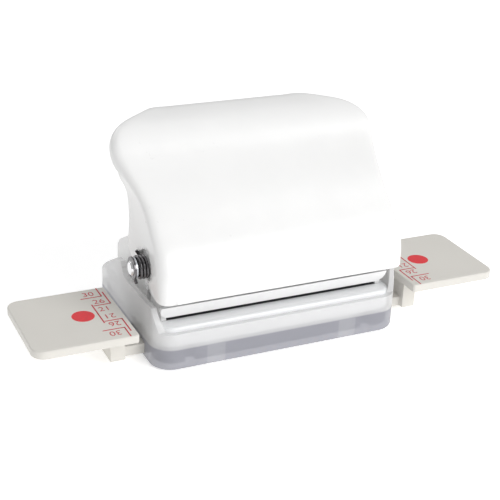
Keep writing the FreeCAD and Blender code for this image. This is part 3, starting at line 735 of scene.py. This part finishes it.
@dataclass
class GuidePrint:
    """The red dot and the sheet scale printed on a paper guide."""

    palette: Palette
    side: int
    ink: Ink = Ink("scale_ink", (0.50, 0.03, 0.045))
    dot_ink: Ink = Ink("dot_ink", (0.66, 0.035, 0.045))
    stroke: float = 0.36
    thickness: float = 0.03 * MM
    text_height: float = 3.4
    dot_x: float = 52.25
    dot_radius: float = 3.1
    marks: tuple[Mark, ...] = (
        Mark("30", ((49.8, 9.6), (44.0, 9.6), (44.0, 14.6)), (47.2, 11.7)),
        Mark("26", ((47.6, 4.7), (43.0, 4.7), (43.0, 11.8)), (45.7, 6.7)),
        Mark("21", ((48.1, 0.0), (48.1, 5.4)), (45.6, 2.1)),
    )

    def build(self) -> list[bpy.types.Object]:
        """Return the dot and the scale as two pieces that ride on the guide."""
        name = "left" if self.side < 0 else "right"
        self.top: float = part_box(f"guide_arm_{name}")[1].z
        body = f"arm_{name}"
        dot = self._dot(f"dot_{name}")
        scale = self._scale(f"scale_{name}")
        dot.data.materials.append(self.palette.take(self.dot_ink))
        scale.data.materials.append(self.palette.take(self.ink))
        return [settle(dot, body), settle(scale, body)]

    def _dot(self, name: str) -> bpy.types.Object:
        """Return the round centre mark with a slightly domed ink surface."""
        work = bmesh.new()
        rings = ((0.0, 1.0), (0.6, 1.0), (0.93, 0.95), (1.0, 0.35), (1.0, -0.3))
        sides = 96
        rows = []
        for share, lift in rings:
            height = self.top + self.thickness * lift
            if share == 0.0:
                rows.append([work.verts.new((self.side * self.dot_x * MM, 0.0, height))] * sides)
                continue
            rows.append([])
            for step in range(sides):
                angle = 2 * math.pi * step / sides
                reach = self.dot_radius * share * MM
                x = self.side * self.dot_x * MM + reach * math.cos(angle)
                rows[-1].append(work.verts.new((x, reach * math.sin(angle), height)))
        for near, far in zip(rows, rows[1:]):
            for step in range(sides):
                after = (step + 1) % sides
                corners = dict.fromkeys((near[step], far[step], far[after], near[after]))
                work.faces.new(tuple(corners))
        work.faces.new(tuple(reversed(rows[-1])))
        bmesh.ops.recalc_face_normals(work, faces=work.faces)
        mesh = bpy.data.meshes.new(name)
        work.to_mesh(mesh)
        work.free()
        return new_object(name, mesh)

    def _bar(self, work: bmesh.types.BMesh, start: Vector, end: Vector) -> None:
        """Add one printed line to a mesh."""
        along = (end - start).normalized()
        length = (end - start).length + self.stroke * MM
        turn = Matrix.Rotation(math.atan2(along.y, along.x), 4, "Z")
        shape = Matrix.Diagonal((length, self.stroke * MM, self.thickness, 1.0))
        place = Matrix.Translation((start + end) / 2) @ turn @ shape
        bmesh.ops.create_cube(work, size=1.0, matrix=place)

    def _scale(self, name: str) -> bpy.types.Object:
        """Return all lines and numerals of one guide as one mesh."""
        work = bmesh.new()
        height = self.top + self.thickness * 0.3
        for mark in self.marks:
            for flip in (-1, 1):
                corners = [Vector((self.side * x * MM, flip * y * MM, height)) for x, y in mark.line]
                for start, end in zip(corners, corners[1:]):
                    self._bar(work, start, end)
                centre = Vector((self.side * mark.centre[0] * MM, flip * mark.centre[1] * MM, height))
                self._numeral(work, mark.numeral, centre, 0.0 if flip > 0 else math.pi)
        mesh = bpy.data.meshes.new(name)
        work.to_mesh(mesh)
        work.free()
        return new_object(name, mesh)

    def _numeral(self, work: bmesh.types.BMesh, text: str, centre: Vector, turn: float) -> None:
        """Add one numeral to a mesh, turned about the vertical."""
        curve = bpy.data.curves.new(f"numeral_{text}", "FONT")
        curve.body = text
        curve.size = self.text_height * MM
        curve.align_x = "CENTER"
        curve.align_y = "CENTER"
        curve.extrude = self.thickness / 2
        curve.offset = -0.02 * MM
        curve.resolution_u = 4
        holder = bpy.data.objects.new(curve.name, curve)
        bpy.context.scene.collection.objects.link(holder)
        bpy.context.view_layer.update()
        mesh = bpy.data.meshes.new_from_object(holder.evaluated_get(bpy.context.evaluated_depsgraph_get()))
        bpy.data.objects.remove(holder)
        mesh.transform(Matrix.Translation(centre) @ Matrix.Rotation(turn, 4, "Z"))
        work.from_mesh(mesh)
        bpy.data.meshes.remove(mesh)


# ---- the punch as a whole ---------------------------------------------------------------------
@dataclass
class HolePunch:
    """All pieces of the punch, built in the order they go together."""

    palette: Palette = field(default_factory=Palette)
    copies: tuple[SoftCopy, ...] = (
        SoftCopy("base_housing", Slot.WHITE, 0.25),
        SoftCopy("chip_tray", Slot.FROSTED, 0.25),
        SoftCopy("guide_arm_left", Slot.CREAM, 0.22),
        SoftCopy("guide_arm_right", Slot.CREAM, 0.22),
        SoftCopy("cheek_left", Slot.ENAMEL, 0.2),
        SoftCopy("cheek_right", Slot.ENAMEL, 0.2),
        SoftCopy("guide_plate", Slot.ENAMEL, 0.3, finish=LIT_LIP_ENAMEL),
        SoftCopy("lever_cover", Slot.COVER, 0.3, 0.02, 40.0),
    )

    def build(self) -> None:
        """Dress the CAD nodes, then add the detailed pieces."""
        slots = {row["node"]: Slot(row["material_slot"]) for row in frame["record"]["subparts"]}
        for name, piece in frame["nodes"].items():
            piece.data.materials.clear()
            piece.data.materials.append(self.palette.slot(slots[name]))
            LOG.info("%s dressed as %s", name, slots[name].value)
        for copy in self.copies:
            copy.build(self.palette)
        SideSpring(self.palette).build()
        ReturnSprings(self.palette).build()
        for side in (-1, 1):
            GuidePrint(self.palette, side).build()


# ---- studio -----------------------------------------------------------------------------------
@dataclass(frozen=True)
class SoftBox:
    """One square area light."""

    name: str
    place: Point
    size: float
    power: float
    colour: Colour = (1.0, 1.0, 1.0)

    def build(self, target: Vector) -> None:
        """Hang the light and turn it to the target."""
        light = bpy.data.lights.new(self.name, "AREA")
        light.shape = "SQUARE"
        light.size = self.size
        light.energy = self.power
        light.color = self.colour
        holder = bpy.data.objects.new(self.name, light)
        holder.location = self.place
        holder.rotation_mode = "QUATERNION"
        holder.rotation_quaternion = (target - Vector(self.place)).to_track_quat("-Z", "Y")
        bpy.context.scene.collection.objects.link(holder)


@dataclass
class Studio:
    """Floor, light and camera."""

    azimuth: float = math.radians(-25.425)
    elevation: float = math.radians(24.485)
    roll: float = math.radians(2.289)
    target: Point = (0.0175, 0.04984, 0.00013)
    distance: float = 0.3873
    lens: float = 85.0
    shift: tuple[float, float] = (0.0153, -0.0027)
    boxes: tuple[SoftBox, ...] = (
        SoftBox("key", (0.45, -0.85, 0.6), 0.7, 7.6),
        SoftBox("top", (0.0, 0.1, 1.1), 0.9, 1.8),
        SoftBox("rear", (-0.3, 0.8, 0.6), 0.6, 1.5),
    )
    world_light: float = 0.42
    floor_half: float = 3.0
    floor_glow: float = 0.4
    look_at: Point = (0.0, 0.0, 0.03)

    def build(self) -> None:
        """Set up the whole studio."""
        self._floor()
        self._world()
        for box in self.boxes:
            box.build(Vector(self.look_at))
        self._camera()
        bpy.context.scene.view_settings.view_transform = "Standard"

    def _floor(self) -> None:
        """Lay a plain pale floor with a faint mottle."""
        half = self.floor_half
        mesh = bpy.data.meshes.new("floor")
        corners = [(-half, -half, 0.0), (half, -half, 0.0), (half, half, 0.0), (-half, half, 0.0)]
        mesh.from_pydata(corners, [], [(0, 1, 2, 3)])
        floor = new_object("floor", mesh)
        shader = Shader("floor_paper")
        mottle = shader.noise(shader.place(), 6.0, 3.0)
        shader.set(
            Base_Color=shader.mix(mottle, (0.93, 0.93, 0.93), (0.95, 0.95, 0.95)),
            Roughness=shader.ramp(mottle, 0.0, 1.0, 0.75, 0.85),
            Emission_Color=(1.0, 1.0, 1.0, 1.0),
            Emission_Strength=self.floor_glow,
        )
        mesh.materials.append(shader.material)

    def _world(self) -> None:
        """Fill the surroundings with even light."""
        world = bpy.data.worlds.new("studio")
        world.use_nodes = True
        background = world.node_tree.nodes["Background"]
        background.inputs["Color"].default_value = (1.0, 1.0, 1.0, 1.0)
        background.inputs["Strength"].default_value = self.world_light
        bpy.context.scene.world = world

    def _camera(self) -> None:
        """Stand the camera in front, to the left and above."""
        right = Vector((math.cos(self.azimuth), math.sin(self.azimuth), 0.0))
        back = Vector(
            (
                math.sin(self.azimuth) * math.cos(self.elevation),
                -math.cos(self.azimuth) * math.cos(self.elevation),
                math.sin(self.elevation),
            )
        )
        up = back.cross(right)
        across = right * math.cos(self.roll) + up * math.sin(self.roll)
        upward = up * math.cos(self.roll) - right * math.sin(self.roll)
        data = bpy.data.cameras.new("camera")
        data.lens = self.lens
        data.shift_x, data.shift_y = self.shift
        data.clip_start = 0.01
        camera = bpy.data.objects.new("camera", data)
        place = Vector(self.target) + back * self.distance
        camera.matrix_world = Matrix(
            [(across[row], upward[row], back[row], place[row]) for row in range(3)] + [(0, 0, 0, 1)]
        )
        bpy.context.scene.collection.objects.link(camera)
        bpy.context.scene.camera = camera


def main() -> None:
    """Build the punch and the studio round it."""
    logging.basicConfig(level=logging.INFO, format="%(name)s: %(message)s")
    HolePunch().build()
    Studio().build()


if __name__ == "__main__":
    main()
